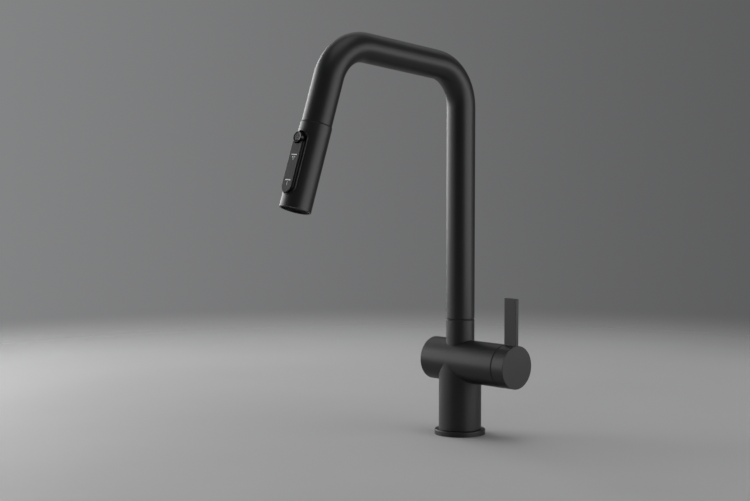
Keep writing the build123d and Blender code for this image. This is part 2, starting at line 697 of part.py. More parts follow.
# Mode rocker: a long pad with a round end, hollowed round the button, on a lug and a peg.
# A groove under its face plate draws the dark line along its side.
mark_places = []
for group in (-1, 1):
    mark_places.append(pivot_at - mark_shift + group * mark_spread)
pad_length = pad_end - button_at + pad_width / 2
with BuildPart() as mode_rocker:
    with BuildSketch(front(pad_back, pad_end - pad_length / 2)):
        SlotOverall(pad_length, pad_width, rotation=90)
        with Locations((0, pad_end - pad_length / 2 - button_at)):
            Circle(button_r + pad_gap, mode=Mode.SUBTRACT)
            Rectangle(2 * pad_width, 2 * pad_horn, mode=Mode.SUBTRACT)
        with Locations((0, pad_end - pad_length / 2 - button_at + pad_width / 2)):
            Rectangle(2 * pad_width, pad_width, mode=Mode.SUBTRACT)
    extrude(amount=pad_face - pad_back)
    fillet(mode_rocker.edges().group_by(out_of_panel)[-1], edge_break)
    with BuildSketch(front(pad_face - pad_plate, pad_end - pad_length / 2)):
        SlotOverall(pad_length + 2 * edge_break, pad_width + 2 * edge_break, rotation=90)
        SlotOverall(pad_length - 2 * pad_groove_depth, pad_width - 2 * pad_groove_depth, rotation=90,
                    mode=Mode.SUBTRACT)
    extrude(amount=-pad_groove, mode=Mode.SUBTRACT)
    for place in mark_places:
        mark_size = (mark_length, 2 * mark_depth, mark_width)
        block(leg, mark_size, (0, pad_face, place), Mode.SUBTRACT)
    lug_h = pad_back - rocker_pin_height + edge_break
    lug_size = (2 * rocker_lug_half, lug_h, 2 * rocker_lug_r)
    block(leg, lug_size, (0, rocker_pin_height + lug_h / 2, pivot_at))
    bar(across(rocker_pin_height, pivot_at), -rocker_lug_half, rocker_lug_half, rocker_lug_r)
    bar(front(0, pivot_at), peg_foot, rocker_pin_height, peg_r)
    lug_hole = rocker_pin_r + running_fit
    bar(across(rocker_pin_height, pivot_at), -rocker_lug_half, rocker_lug_half, lug_hole, Mode.SUBTRACT)

with BuildPart() as mode_marks:
    for place in mark_places:
        block(leg, (mark_length - close_fit, mark_depth, mark_width - close_fit),
              (0, pad_face - mark_depth / 2, place))

# Diverter spool that the rocker's peg slides
neck_half_length = peg_r + loose_fit
spool_rings = (diverter_start + spool_ring_inset, diverter_end - spool_ring_inset)
with BuildPart() as diverter_spool:
    bar(leg, diverter_start, diverter_end, spool_land_r)
    with BuildSketch(leg.offset(pivot_at)):
        Circle(spool_land_r)
        Circle(spool_neck_r, mode=Mode.SUBTRACT)
    extrude(amount=neck_half_length, both=True, mode=Mode.SUBTRACT)
    for ring_at in spool_rings:
        o_ring(leg, ring_at, spool_land_r, Mode.SUBTRACT, close_fit)

with BuildPart() as spool_o_rings:
    for ring_at in spool_rings:
        o_ring(leg, ring_at, spool_land_r)

# Spray outlet: face plate with a ring of nozzles round the aerator, held by a threaded ring
shell_bore_r = head_r - head_wall
plate_r = shell_bore_r - face_ring_wall - 2 * close_fit
ring_start = face_front + face_ring_proud - face_ring_h
with BuildPart() as spray_face:
    bar(leg, face_back, face_front, plate_r)
    bar(leg, face_back, ring_start - close_fit, core_r)
    bar(leg, face_back + face_seal_h, face_front, aerator_r + close_fit, Mode.SUBTRACT)
    bar(leg, face_back, face_front, aerator_r - aerator_seat, Mode.SUBTRACT)
    nozzle_circle = (aerator_r + plate_r) / 2
    with Locations(leg.offset(face_back)):
        with PolarLocations(nozzle_circle, nozzle_count):
            Cylinder(nozzle_r, face_plate_h, align=(Align.CENTER, Align.CENTER, Align.MIN),
                     mode=Mode.SUBTRACT)

with BuildPart() as aerator:
    bar(leg, face_back + face_seal_h + close_fit, face_front, aerator_r)
    with BuildSketch(leg.offset(face_back)):
        for circle_r in aerator_circles:
            with PolarLocations(circle_r, aerator_holes):
                Circle(nozzle_r)
    extrude(amount=face_plate_h, mode=Mode.SUBTRACT)

with BuildPart() as face_ring:
    sleeve(leg, ring_start, ring_start + face_ring_h, shell_bore_r - close_fit, plate_r + close_fit)

with BuildPart() as face_seal:
    sleeve(leg, core_end, face_back, core_r - close_fit, chamber_r)

pieces = {
    "body_casting": body_casting,
    "swivel_collar": swivel_collar,
    "base_ring": base_ring,
    "base_gasket": base_gasket,
    "shank": shank,
    "deck_washer": deck_washer,
    "clamp_washer": clamp_washer,
    "mounting_nut": mounting_nut,
    "barrel_end_plug": barrel_end_plug,
    "end_plug_o_ring": end_plug_o_ring,
    "cartridge_shell": cartridge_shell,
    "cartridge_o_rings": cartridge_o_rings,
    "retainer_nut": retainer_nut,
    "ring_circlip": ring_circlip,
    "pivot_ring": pivot_ring,
    "pivot_pin": pivot_pin,
    "cartridge_stem": cartridge_stem,
    "stem_o_rings": stem_o_rings,
    "lever_hub": lever_hub,
    "lever_blade": lever_blade,
    "spout_tube": spout_tube,
    "spout_spigot": spout_spigot,
    "glide_bush": glide_bush,
    "slip_washer": slip_washer,
    "stop_screw": stop_screw,
    "dock_sleeve": dock_sleeve,
    "dock_magnet": dock_magnet,
    "hose": hose,
    "hose_coupling": hose_coupling,
    "coupling_o_ring": coupling_o_ring,
    "hose_stem": hose_stem,
    "hose_ferrule": hose_ferrule,
    "swivel_nut": swivel_nut,
    "nut_washer": nut_washer,
    "head_shell": head_shell,
    "head_core": head_core,
    "keeper_ring": keeper_ring,
    "check_valve": check_valve,
    "panel_bezel": panel_bezel,
    "rocker_pin": rocker_pin,
    "pause_button": pause_button,
    "button_stem": button_stem,
    "button_spring": button_spring,
    "mode_rocker": mode_rocker,
    "mode_marks": mode_marks,
    "diverter_spool": diverter_spool,
    "spool_o_rings": spool_o_rings,
    "spray_face": spray_face,
    "aerator": aerator,
    "face_ring": face_ring,
    "face_seal": face_seal,
}
for label, piece in pieces.items():
    piece.part.label = label
    export_step(piece.part, f"parts/{label}.step")
    print(label, len(piece.part.solids()), round(piece.part.volume, 1))
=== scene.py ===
# %% [markdown]
# # A pull-down kitchen faucet in satin black
#
# The solids come from a CAD frame: fifty-one real pieces at their real size, already in place. This
# lesson dresses them. It sets up the camera, gives every piece a finish made of shader nodes, models the
# things that a CAD solid can't show well, such as a braided hose, and lights the result.

import json
from math import cos, pi, radians, sin, tan

import bmesh
import bpy
from mathutils import Matrix, Vector


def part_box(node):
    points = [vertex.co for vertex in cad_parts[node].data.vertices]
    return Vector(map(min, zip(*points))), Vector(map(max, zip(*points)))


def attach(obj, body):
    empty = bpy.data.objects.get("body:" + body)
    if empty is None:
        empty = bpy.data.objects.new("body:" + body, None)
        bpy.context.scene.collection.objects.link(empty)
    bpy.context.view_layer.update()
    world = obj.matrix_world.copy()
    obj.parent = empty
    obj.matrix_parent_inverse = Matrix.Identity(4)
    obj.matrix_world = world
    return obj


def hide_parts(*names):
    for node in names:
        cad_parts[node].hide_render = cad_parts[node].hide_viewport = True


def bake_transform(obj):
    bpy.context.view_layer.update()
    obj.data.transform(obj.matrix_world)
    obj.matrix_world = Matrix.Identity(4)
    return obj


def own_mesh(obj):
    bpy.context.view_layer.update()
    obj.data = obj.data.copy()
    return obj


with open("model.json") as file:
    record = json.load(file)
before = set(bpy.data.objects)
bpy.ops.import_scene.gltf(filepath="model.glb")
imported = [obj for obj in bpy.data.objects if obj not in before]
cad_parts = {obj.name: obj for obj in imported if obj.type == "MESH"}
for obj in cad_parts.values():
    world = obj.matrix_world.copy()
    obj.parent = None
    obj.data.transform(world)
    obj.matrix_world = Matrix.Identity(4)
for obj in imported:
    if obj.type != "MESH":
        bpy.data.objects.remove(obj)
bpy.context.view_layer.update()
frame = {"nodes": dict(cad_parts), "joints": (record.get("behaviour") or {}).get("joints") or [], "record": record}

# %% [markdown]
# ## The camera
#
# A photograph fixes one camera: its place, where it looks and how long its lens is. These numbers were
# found by lining up the faucet's straight edges with the picture's. A long lens far away keeps the riser
# and the leg almost free of perspective, which is how a product is usually shown.

# %% Camera
CAMERA_PLACE = Vector((1.19394, -1.26936, 0.31242))
CAMERA_SWING = radians(46.011)
CAMERA_DIP = radians(4.301)
LENS_MM = 85.25
SENSOR_MM = 36.0

upwards = Vector((0, 0, 1))
level_sight = Vector((-sin(CAMERA_SWING), cos(CAMERA_SWING), 0))
picture_right = Vector((cos(CAMERA_SWING), sin(CAMERA_SWING), 0))
sight = level_sight * cos(CAMERA_DIP) - upwards * sin(CAMERA_DIP)
camera = bpy.data.objects.new("photo_camera", bpy.data.cameras.new("photo_camera"))
camera.data.lens = LENS_MM
camera.data.sensor_width = SENSOR_MM
camera.location = CAMERA_PLACE
camera.rotation_euler = sight.to_track_quat("-Z", "Y").to_euler()
bpy.context.scene.collection.objects.link(camera)
bpy.context.scene.camera = camera
bpy.context.scene.view_settings.view_transform = "Standard"
print("camera: lens", LENS_MM, "mm, looking along", [round(x, 3) for x in sight])

# %% [markdown]
# ## Where things are
#
# The joints in the frame already say where the leg starts, which way it leans and where the control panel
# faces. Reading them keeps every new piece tied to the solids. Distances on the spray head are counted in
# three ways: across it, out of its front, and down the leg from the corner where arm and leg meet.

# %% Places on the spout
MM = 0.001
ARM_RISE = radians(8)
BEND_RADIUS = 42 * MM

joints = {joint["name"]: joint for joint in frame["joints"]}
leg_corner = Vector(joints["head_turn"]["pos_m"])
down_leg = Vector(joints["pull_out"]["axis"]).normalized()
out_front = -Vector(joints["pause_press"]["axis"]).normalized()
sideways = Vector((1, 0, 0))
arm_corner = Vector((0, 0, leg_corner.z + leg_corner.y * tan(ARM_RISE)))


def on_head(across=0.0, out=0.0, down=0.0):
    """A point of the leg or the spray head."""
    return leg_corner + sideways * across + out_front * out + down_leg * down


def reach(node, way):
    """How far along a direction a node starts and ends, counted from the leg's corner."""
    places = [(vertex.co - leg_corner).dot(way) for vertex in frame["nodes"][node].data.vertices]
    return min(places), max(places)


def standing(origin, up, across=sideways):
    """A placing matrix: local Z along up, local X across."""
    flat_y = up.cross(across).normalized()
    turn = Matrix((flat_y.cross(up).normalized(), flat_y, up)).transposed()
    return Matrix.Translation(origin) @ turn.to_4x4()


print("corners at", [round(x, 4) for x in arm_corner], [round(x, 4) for x in leg_corner])

# %% [markdown]
# ## Grain, shared by most finishes
#
# Coated metal, moulded plastic and rubber are never one flat tone. They have a fine grain that breaks up
# a highlight, and slow clouds where the coat is a little thicker or smoother. Both are noise, at two
# scales. As every finish wants them with other values, they go in a node group with named sockets. The
# group reads the object's own coordinates, so the grain stays on the piece from every side.

# %% Grain group
GRAIN_DETAIL = 2.0
CLOUD_DETAIL = 4.0


def make_group(name, sockets):
    """An empty node group. Each socket is a name, a direction and a kind."""
    group = bpy.data.node_groups.new(name, "ShaderNodeTree")
    for socket, way, kind in sockets:
        group.interface.new_socket(name=socket, in_out=way, socket_type=kind)
    start = group.nodes.new("NodeGroupInput")
    end = group.nodes.new("NodeGroupOutput")
    return group, start, end


def make_grain():
    """Two noises that read the same position, each at its own scale."""
    group, start, end = make_group("fine_grain", (
        ("Position", "INPUT", "NodeSocketVector"),
        ("Grains per metre", "INPUT", "NodeSocketFloat"),
        ("Clouds per metre", "INPUT", "NodeSocketFloat"),
        ("Clouds", "OUTPUT", "NodeSocketFloat"),
        ("Grain", "OUTPUT", "NodeSocketFloat"),
    ))
    for count, detail, out in (("Grains per metre", GRAIN_DETAIL, "Grain"),
                               ("Clouds per metre", CLOUD_DETAIL, "Clouds")):
        noise = group.nodes.new("ShaderNodeTexNoise")
        noise.inputs["Detail"].default_value = detail
        group.links.new(start.outputs["Position"], noise.inputs["Vector"])
        group.links.new(start.outputs[count], noise.inputs["Scale"])
        group.links.new(noise.outputs["Fac"], end.inputs[out])
    return group


fine_grain = make_grain()
print("group:", fine_grain.name, [item.name for item in fine_grain.interface.items_tree])

# %% [markdown]
# ## A finish, step by step
#
# Each finish starts from Blender's Principled shader. What is the same all over is set on the shader's
# own sockets. What varies comes from the grain: clouds move the tone and the gloss a little, and the fine
# grain feeds a Bump node. All of it could be wired by hand for each material. A small class keeps a
# material's nodes together instead, so that each finish below is only a few lines long.

# %% Finish helper
NOISE_SPAN = (0.3, 0.7)


class Finish:
    """A material with its shader, its object coordinates and a grain group."""

    def __init__(self, name, **constants):
        self.material = bpy.data.materials.new(name)
        self.material.use_nodes = True
        self.nodes = self.material.node_tree.nodes
        self.links = self.material.node_tree.links
        self.shader = self.nodes["Principled BSDF"]
        self.position = self.nodes.new("ShaderNodeTexCoord").outputs["Object"]
        for constant, value in constants.items():
            socket = constant.replace("_", " ").title().replace("Ior", "IOR")
            self.shader.inputs[socket].default_value = value

    def grain(self, grains, clouds):
        """Adds the grain group and gives its two masks."""
        group = self.nodes.new("ShaderNodeGroup")
        group.node_tree = fine_grain
        group.inputs["Grains per metre"].default_value = grains
        group.inputs["Clouds per metre"].default_value = clouds
        self.links.new(self.position, group.inputs["Position"])
        return group.outputs["Clouds"], group.outputs["Grain"]

    def tone(self, mask, dark, pale, span=NOISE_SPAN):
        """Base colour that runs between two tones while a mask runs over a span."""
        ramp = self.nodes.new("ShaderNodeValToRGB")
        for element, place, colour in zip(ramp.color_ramp.elements, span, (dark, pale)):
            element.position = place
            element.color = (*colour, 1)
        self.links.new(mask, ramp.inputs["Fac"])
        self.links.new(ramp.outputs["Color"], self.shader.inputs["Base Color"])

    def remap(self, value, span, low=0.0, high=1.0):
        """A value that runs from low to high while another runs over a span."""
        node = self.nodes.new("ShaderNodeMapRange")
        for socket, number in zip(("From Min", "From Max", "To Min", "To Max"), (*span, low, high)):
            node.inputs[socket].default_value = number
        self.links.new(value, node.inputs["Value"])
        return node.outputs["Result"]

    def gloss(self, mask, smooth, rough):
        """Roughness that runs between two values with a mask."""
        self.links.new(self.remap(mask, NOISE_SPAN, smooth, rough), self.shader.inputs["Roughness"])

    def relief(self, height, depth, strength=0.5):
        """A bump of a real depth, in metres."""
        bump = self.nodes.new("ShaderNodeBump")
        bump.inputs["Strength"].default_value = strength
        bump.inputs["Distance"].default_value = depth
        self.links.new(height, bump.inputs["Height"])
        self.links.new(bump.outputs["Normal"], self.shader.inputs["Normal"])


def grained(name, grains, clouds, dark, pale, smooth, rough, depth=0.0, strength=0.5, **constants):
    """The usual finish: clouds move the tone, and the grain moves the gloss and a shallow bump."""
    finish = Finish(name, **constants)
    cloud_mask, grain_mask = finish.grain(grains, clouds)
    finish.tone(cloud_mask, dark, pale)
    finish.gloss(grain_mask, smooth, rough)
    if depth:
        finish.relief(grain_mask, depth, strength)
    return finish.material


print("finish helper ready, noise runs over", NOISE_SPAN)

# %% [markdown]
# ## Satin black coat
#
# The outer metal is brass and steel under a baked black coat. It is nearly neutral black, and its broad
# soft highlights say that it is satin: rough enough to blur a softbox, smooth enough to show where its
# edge is. A plain dark grey would do from afar, but the grain keeps the highlights from looking like
# plastic. The coat's own orange peel is finer than a pixel here, so its bump is very shallow.

# %% Black coat
black_coat = grained(
    "satin_black_coat", grains=2600, clouds=45, dark=(0.0065, 0.0066, 0.007), pale=(0.0088, 0.009, 0.0095),
    smooth=0.39, rough=0.45, depth=0.03 * MM, strength=0.35, specular_ior_level=0.38)
print("finish:", black_coat.name)

# %% [markdown]
# ## Control panel plastics
#
# The panel is moulded plastic: a satin pad in a darker frame, and a polished button with a satin cap. The
# pad's sides are coloured darker than its face, as painted shade for the shadow they sit in, and only
# the face has a thin clear coat. Two materials on two sets of faces could do that, but the pad is a CAD
# solid and its mesh stays as it is. So a mask reads how far out of the panel a point lies, and drives
# both the painted shade on the sides and the coat.

# %% Panel plastics
PAD_EDGE = 0.15 * MM
# Painted shade: the pad's sides are coloured darker than its face.
PAD_SIDE_SHADE = (0.005, 0.005, 0.0055)
PAD_FACE = (0.0095, 0.0098, 0.0102)
PAD_SPAN = (0.2, 0.8)
PAD_SHINE = 0.2


def make_pad_satin():
    finish = Finish("pad_satin", specular_ior_level=0.1, coat_roughness=0.4)
    grain = finish.grain(grains=4200, clouds=70)[1]
    height = finish.nodes.new("ShaderNodeVectorMath")
    height.operation = "DOT_PRODUCT"
    height.inputs[1].default_value = out_front
    finish.links.new(finish.position, height.inputs[0])
    face = on_head(out=reach("mode_rocker", out_front)[1]).dot(out_front)
    edge = (face - PAD_EDGE, face)
    # The mask paints the sides darker, as painted shade; the face keeps the pad's own grey.
    finish.tone(finish.remap(height.outputs["Value"], edge), PAD_SIDE_SHADE, PAD_FACE, PAD_SPAN)
    shine = finish.remap(height.outputs["Value"], edge, 0.0, PAD_SHINE)
    finish.links.new(shine, finish.shader.inputs["Coat Weight"])
    finish.gloss(grain, 0.42, 0.52)
    finish.relief(grain, 0.03 * MM)
    return finish.material


pad_satin = make_pad_satin()
moulded_black = grained(
    "moulded_black", grains=3200, clouds=60, dark=(0.007, 0.007, 0.0075), pale=(0.011, 0.011, 0.0115),
    smooth=0.42, rough=0.55, depth=0.04 * MM, specular_ior_level=0.45)
polished_button = grained(
    "polished_button", grains=1500, clouds=120, dark=(0.003, 0.003, 0.0034), pale=(0.0045, 0.0045, 0.005),
    smooth=0.22, rough=0.3, specular_ior_level=0.12, coat_weight=0.12, coat_roughness=0.08)
cap_satin = grained(
    "cap_satin", grains=5000, clouds=300, dark=(0.011, 0.011, 0.0115), pale=(0.015, 0.015, 0.0155),
    smooth=0.36, rough=0.46, specular_ior_level=0.26)
print("finishes:", pad_satin.name, moulded_black.name, polished_button.name, cap_satin.name)

# %% [markdown]
# ## Rubber, seams, ink and magnet
#
# Seals are plain matt rubber, and its gloss changes slowly, in clouds. What shows in the narrow joints
# between the outer pieces is a dull black with a little more or a little less sheen, so that one joint
# reads darker than another. The white bars are ink, and the dock's magnet is ceramic.

# %% Rubber, seams, ink and magnet
def make_matt_rubber():
    finish = Finish("matt_rubber", specular_ior_level=0.3)
    clouds, grain = finish.grain(grains=2500, clouds=80)
    finish.tone(clouds, (0.014, 0.014, 0.014), (0.024, 0.024, 0.023))
    finish.gloss(clouds, 0.65, 0.8)
    finish.relief(grain, 0.05 * MM)
    return finish.material


def seam_black(name, sheen):
    return grained(name, grains=2500, clouds=80, dark=(0.012, 0.012, 0.012), pale=(0.016, 0.016, 0.016),
                   smooth=0.7, rough=0.8, specular_ior_level=sheen)


matt_rubber = make_matt_rubber()
dark_seam = seam_black("dark_seam", 0.15)
faint_seam = seam_black("faint_seam", 0.36)
white_ink = grained(
    "white_ink", grains=6000, clouds=400, dark=(0.74, 0.75, 0.75), pale=(0.84, 0.84, 0.84),
    smooth=0.45, rough=0.6, specular_ior_level=0.3)
magnet_ceramic = grained(
    "magnet_ceramic", grains=3500, clouds=200, dark=(0.05, 0.05, 0.053), pale=(0.085, 0.085, 0.09),
    smooth=0.45, rough=0.7, depth=0.05 * MM, specular_ior_level=0.4)
print("finishes:", matt_rubber.name, dark_seam.name, faint_seam.name, white_ink.name, magnet_ceramic.name)

# %% [markdown]
# ## Turned metal
#
# Brass nuts and steel washers come off a lathe, which leaves fine lines round the axis. Stretching the
# noise does it: many changes along the axis and few round it. A Mapping node turns the lines to the
# piece's own axis, so the same group serves upright parts and the cross barrel's parts. The brass inside
# the barrel is rougher, and its tone is painted darker as painted shade for the inside of the barrel, so
# that it doesn't shine out of the gap behind a lifted lever.

# %% Turned metal
UPRIGHT = (0, 0, 0)
ALONG_BARREL = (0, radians(90), 0)
LINES_PER_METRE = 9000
ROUNDS_PER_METRE = 60
LINE_DETAIL = 3.0
BRASS_TONES = ((0.46, 0.33, 0.13), (0.6, 0.45, 0.2))
# Painted shade: darker tones for the brass inside the barrel.
SHADED_BRASS_TONES = ((0.13, 0.09, 0.04), (0.2, 0.145, 0.07))
STEEL_TONES = ((0.42, 0.42, 0.43), (0.58, 0.58, 0.59))


def make_lathe_lines():
    group, start, end = make_group("lathe_lines", (
        ("Position", "INPUT", "NodeSocketVector"),
        ("Lines", "OUTPUT", "NodeSocketFloat"),
    ))
    stretch = group.nodes.new("ShaderNodeMapping")
    stretch.inputs["Scale"].default_value = (ROUNDS_PER_METRE, ROUNDS_PER_METRE, LINES_PER_METRE)
    noise = group.nodes.new("ShaderNodeTexNoise")
    noise.inputs["Scale"].default_value = 1.0
    noise.inputs["Detail"].default_value = LINE_DETAIL
    group.links.new(start.outputs["Position"], stretch.inputs["Vector"])
    group.links.new(stretch.outputs["Vector"], noise.inputs["Vector"])
    group.links.new(noise.outputs["Fac"], end.inputs["Lines"])
    return group


lathe_lines = make_lathe_lines()


def turned_metal(name, tones, axis, smooth=0.22, rough=0.42):
    finish = Finish(name, metallic=1.0)
    turn = finish.nodes.new("ShaderNodeMapping")
    turn.inputs["Rotation"].default_value = axis
    lines = finish.nodes.new("ShaderNodeGroup")
    lines.node_tree = lathe_lines
    finish.links.new(finish.position, turn.inputs["Vector"])
    finish.links.new(turn.outputs["Vector"], lines.inputs["Position"])
    clouds = finish.grain(grains=2000, clouds=90)[0]
    finish.tone(clouds, *tones)
    finish.gloss(lines.outputs["Lines"], smooth, rough)
    finish.relief(lines.outputs["Lines"], 0.02 * MM)
    return finish.material


turned_brass = turned_metal("turned_brass", BRASS_TONES, UPRIGHT)
turned_steel = turned_metal("turned_steel", STEEL_TONES, UPRIGHT)
# Painted shade on the brass inside the barrel: darker tones, and rougher.
barrel_brass = turned_metal("barrel_brass", SHADED_BRASS_TONES, ALONG_BARREL, smooth=0.4, rough=0.6)
print("finishes:", turned_brass.name, turned_steel.name, barrel_brass.name, "with group", lathe_lines.name)

# %% [markdown]
# ## Braided hose
#
# The pull-out hose has a sleeve of crossing nylon strands. Modelling each strand would take hundreds of
# thin tubes. Two sets of waves, one winding each way, make the crossing instead, and the higher of the
# two is the strand on top. The same waves colour the sleeve: dark in the hollows between strands, as
# painted shade, and the sleeve's own grey on the strand tops. The hose mesh will carry its own direction
# round the axis, as an attribute called round, and the climb along the leg comes from the height.
# Neither stretches when the hose is drawn out.

# %% Hose braid
BRAID_STRANDS = 16
BRAID_PITCH = 40 * MM
BRAID_DEPTH = 0.3 * MM
BRAID_SPAN = (0.0, 0.9)
# Painted shade: the dark tone goes in the hollows between strands, the pale one is the sleeve's grey.
BRAID_HOLLOW_SHADE_TONES = ((0.012, 0.012, 0.013), (0.085, 0.086, 0.09))


def make_hose_braid():
    finish = Finish("hose_braid", specular_ior_level=0.45)

    def maths(operation, *values):
        """A Math node, with numbers set on its sockets and other values linked to them."""
        node = finish.nodes.new("ShaderNodeMath")
        node.operation = operation
        for socket, value in zip(node.inputs, values):
            if isinstance(value, (int, float)):
                socket.default_value = value
            else:
                finish.links.new(value, socket)
        return node.outputs["Value"]

    around = finish.nodes.new("ShaderNodeAttribute")
    around.attribute_name = "round"
    facing = finish.nodes.new("ShaderNodeSeparateXYZ")
    height = finish.nodes.new("ShaderNodeSeparateXYZ")
    finish.links.new(around.outputs["Vector"], facing.inputs["Vector"])
    finish.links.new(finish.position, height.inputs["Vector"])
    angle = maths("ARCTAN2", facing.outputs["Y"], facing.outputs["X"])
    turn = maths("MULTIPLY", angle, BRAID_STRANDS / 2)
    climb = maths("MULTIPLY", height.outputs["Z"], BRAID_STRANDS * pi / BRAID_PITCH)
    right_hand = maths("SINE", maths("ADD", turn, climb))
    left_hand = maths("SINE", maths("SUBTRACT", turn, climb))
    strands = maths("MAXIMUM", right_hand, left_hand)
    grain = finish.grain(grains=5000, clouds=150)[1]
    # Painted shade in the hollows between strands, from the strands' height.
    finish.tone(strands, *BRAID_HOLLOW_SHADE_TONES, BRAID_SPAN)
    finish.gloss(grain, 0.4, 0.6)
    finish.relief(strands, BRAID_DEPTH, strength=0.8)
    return finish.material


hose_braid = make_hose_braid()
print("finish:", hose_braid.name, BRAID_STRANDS, "strands a round,", BRAID_PITCH / MM, "mm pitch")

# %% [markdown]
# ## Finishes on the solids
#
# The record gives every solid a material slot, so most finishes are handed out by slot. A few solids
# share a slot but get a finish of their own: the rocker's pad is greyer than the plastic inside the head,
# the brass inside the barrel is rougher and painted darker as painted shade, and what shows in a joint
# is dark.

# %% Dress the solids
finishes = {
    "black_coat": black_coat,
    "brass": turned_brass,
    "steel": turned_steel,
    "rubber": matt_rubber,
    "dark_plastic": moulded_black,
    "gloss_black": polished_button,
    "white_print": white_ink,
    "hose_braid": hose_braid,
    "magnet": magnet_ceramic,
}
node_finishes = {
    "mode_rocker": pad_satin,
    "slip_washer": faint_seam,
    "cartridge_shell": barrel_brass,
    "cartridge_stem": barrel_brass,
    "retainer_nut": barrel_brass,
    "pivot_ring": dark_seam,
}
slot_of = {part["node"]: part["material_slot"] for part in frame["record"]["subparts"]}
for name, solid in frame["nodes"].items():
    solid.data.materials.clear()
    solid.data.materials.append(node_finishes.get(name, finishes[slot_of[name]]))
in_use = {solid.data.materials[0].name for solid in frame["nodes"].values()}
print("dressed", len(frame["nodes"]), "solids in", len(in_use), "finishes")

# %% [markdown]
# ## Making a new piece
#
# New pieces are built with bmesh operators: a row or a ring of edges is pulled or spun into a surface, as
# on a lathe. A few helpers cover most of it. One joins points with edges, one pulls edges along a line,
# two spin them round an axis, and one turns the finished bmesh into an object that moves with a body of
# the frame.

# %% Piece helpers
WELD = 1e-7


def in_mm(profile):
    return [(radius * MM, height * MM) for radius, height in profile]


def edges_of(geometry):
    return [item for item in geometry if isinstance(item, bmesh.types.BMEdge)]


def chain(bm, points, closed=False):
    """Joins points with a row of edges. Gives the corners and the edges."""
    corners = [bm.verts.new(point) for point in points]
    following = corners[1:] + corners[:1] if closed else corners[1:]
    return corners, [bm.edges.new(pair) for pair in zip(corners, following)]


def pull(bm, edges, along):
    """Extrudes edges along a vector and gives the new ones."""
    made = bmesh.ops.extrude_edge_only(bm, edges=edges)["geom"]
    corners = [item for item in made if isinstance(item, bmesh.types.BMVert)]
    bmesh.ops.translate(bm, verts=corners, vec=along)
    return edges_of(made)


def spin(bm, edges, centre, axis, angle, steps, climb=0.0):
    """Spins edges round an axis, with an optional climb along it for coils and threads."""
    made = bmesh.ops.spin(bm, geom=edges, cent=centre, axis=axis, dvec=axis * (climb / steps), angle=angle,
                          steps=steps, use_duplicate=False)
    return edges_of(made["geom_last"])


def lathe(bm, profile, place, steps=48):
    """Turns a profile of (radius, height) points all the way round a placing matrix's Z axis."""
    corners, line = chain(bm, [place @ Vector((radius, 0, height)) for radius, height in profile])
    bmesh.ops.spin(bm, geom=corners + line, cent=place.translation, axis=place.to_3x3().col[2],
                   angle=2 * pi, steps=steps, use_merge=True, use_duplicate=False)


def add_piece(name, bm, finish, body=None, crease=35):
    """Makes the object, smooth but for edges sharper than the crease, and lets it ride on a body."""
    bmesh.ops.remove_doubles(bm, verts=bm.verts, dist=WELD)
    bmesh.ops.recalc_face_normals(bm, faces=bm.faces)
    for face in bm.faces:
        face.smooth = True
    mesh = bpy.data.meshes.new(name)
    bm.to_mesh(mesh)
    bm.free()
    mesh.set_sharp_from_angle(angle=radians(crease))
    mesh.materials.append(finish)
    piece = bpy.data.objects.new(name, mesh)
    bpy.context.scene.collection.objects.link(piece)
    if body:
        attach(piece, body)
    print("piece:", name, len(mesh.polygons), "faces")
    return piece


print("piece helpers ready, corners closer than", WELD, "m are welded")

# %% [markdown]
# ## The pull-out hose
#
# The hose runs up the riser, over both bends and down the leg. A circle of edges is pulled along the
# straights and spun round the bends, with the same corners and radius as the tube. Each corner of the
# circle keeps its own direction in the round attribute, which extruding copies along, and the braid reads
# it. Solidify gives the wall, inwards. The run in the leg is a piece of its own, from the end of the
# second bend to the ferrule at the hose end.

# %% Braided hose
HOSE_SIDES = 32
HOSE_WALL = 2.2 * MM
BEND_STEPS = 24
HOSE_GRIP = 2 * MM


def hose_circle(bm, place, way):
    """A circle of edges across the hose, with the direction of each corner."""
    around = bm.verts.layers.float_vector.new("round")
    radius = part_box("hose")[1].x
    bmesh.ops.create_circle(bm, segments=HOSE_SIDES, radius=radius)
    for vertex in bm.verts:
        vertex[around] = vertex.co / radius
    bmesh.ops.transform(bm, matrix=standing(place, way), verts=bm.verts)
    return list(bm.edges)


def add_hose(name, bm, body=None):
    hose = add_piece(name, bm, hose_braid, body)
    wall = hose.modifiers.new("wall", "SOLIDIFY")
    wall.thickness = HOSE_WALL
    wall.offset = -1.0
    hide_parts("hose")
    return hose


def riser_hose():
    """The hose from its lower end to the end of the second bend. Gives where that is."""
    place = Vector((0, 0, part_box("hose")[0].z))
    way = upwards
    bm = bmesh.new()
    edges = hose_circle(bm, place, way)
    arm_way = (leg_corner - arm_corner).normalized()
    for corner, next_way in ((arm_corner, arm_way), (leg_corner, down_leg)):
        angle = way.angle(next_way)
        bend_reach = BEND_RADIUS * tan(angle / 2)
        bend_start = corner - way * bend_reach
        edges = pull(bm, edges, bend_start - place)
        centre = bend_start + sideways.cross(way) * BEND_RADIUS
        edges = spin(bm, edges, centre, sideways, angle, BEND_STEPS)
        place, way = corner + next_way * bend_reach, next_way
    add_hose("riser_hose", bm, "spout")
    return (place - leg_corner).length


def leg_hose(top):
    """The run in the leg, from the spout's end at its top to the ferrule at its end."""
    grip, end = reach("hose_ferrule", down_leg)
    stops = (top, top + HOSE_GRIP, grip - HOSE_GRIP, end)
    bm = bmesh.new()
    edges = hose_circle(bm, on_head(down=top), down_leg)
    for start, stop in zip(stops, stops[1:]):
        edges = pull(bm, edges, down_leg * (stop - start))
    hose = add_hose("leg_hose", bm)
    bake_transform(hose)


leg_hose(riser_hose())

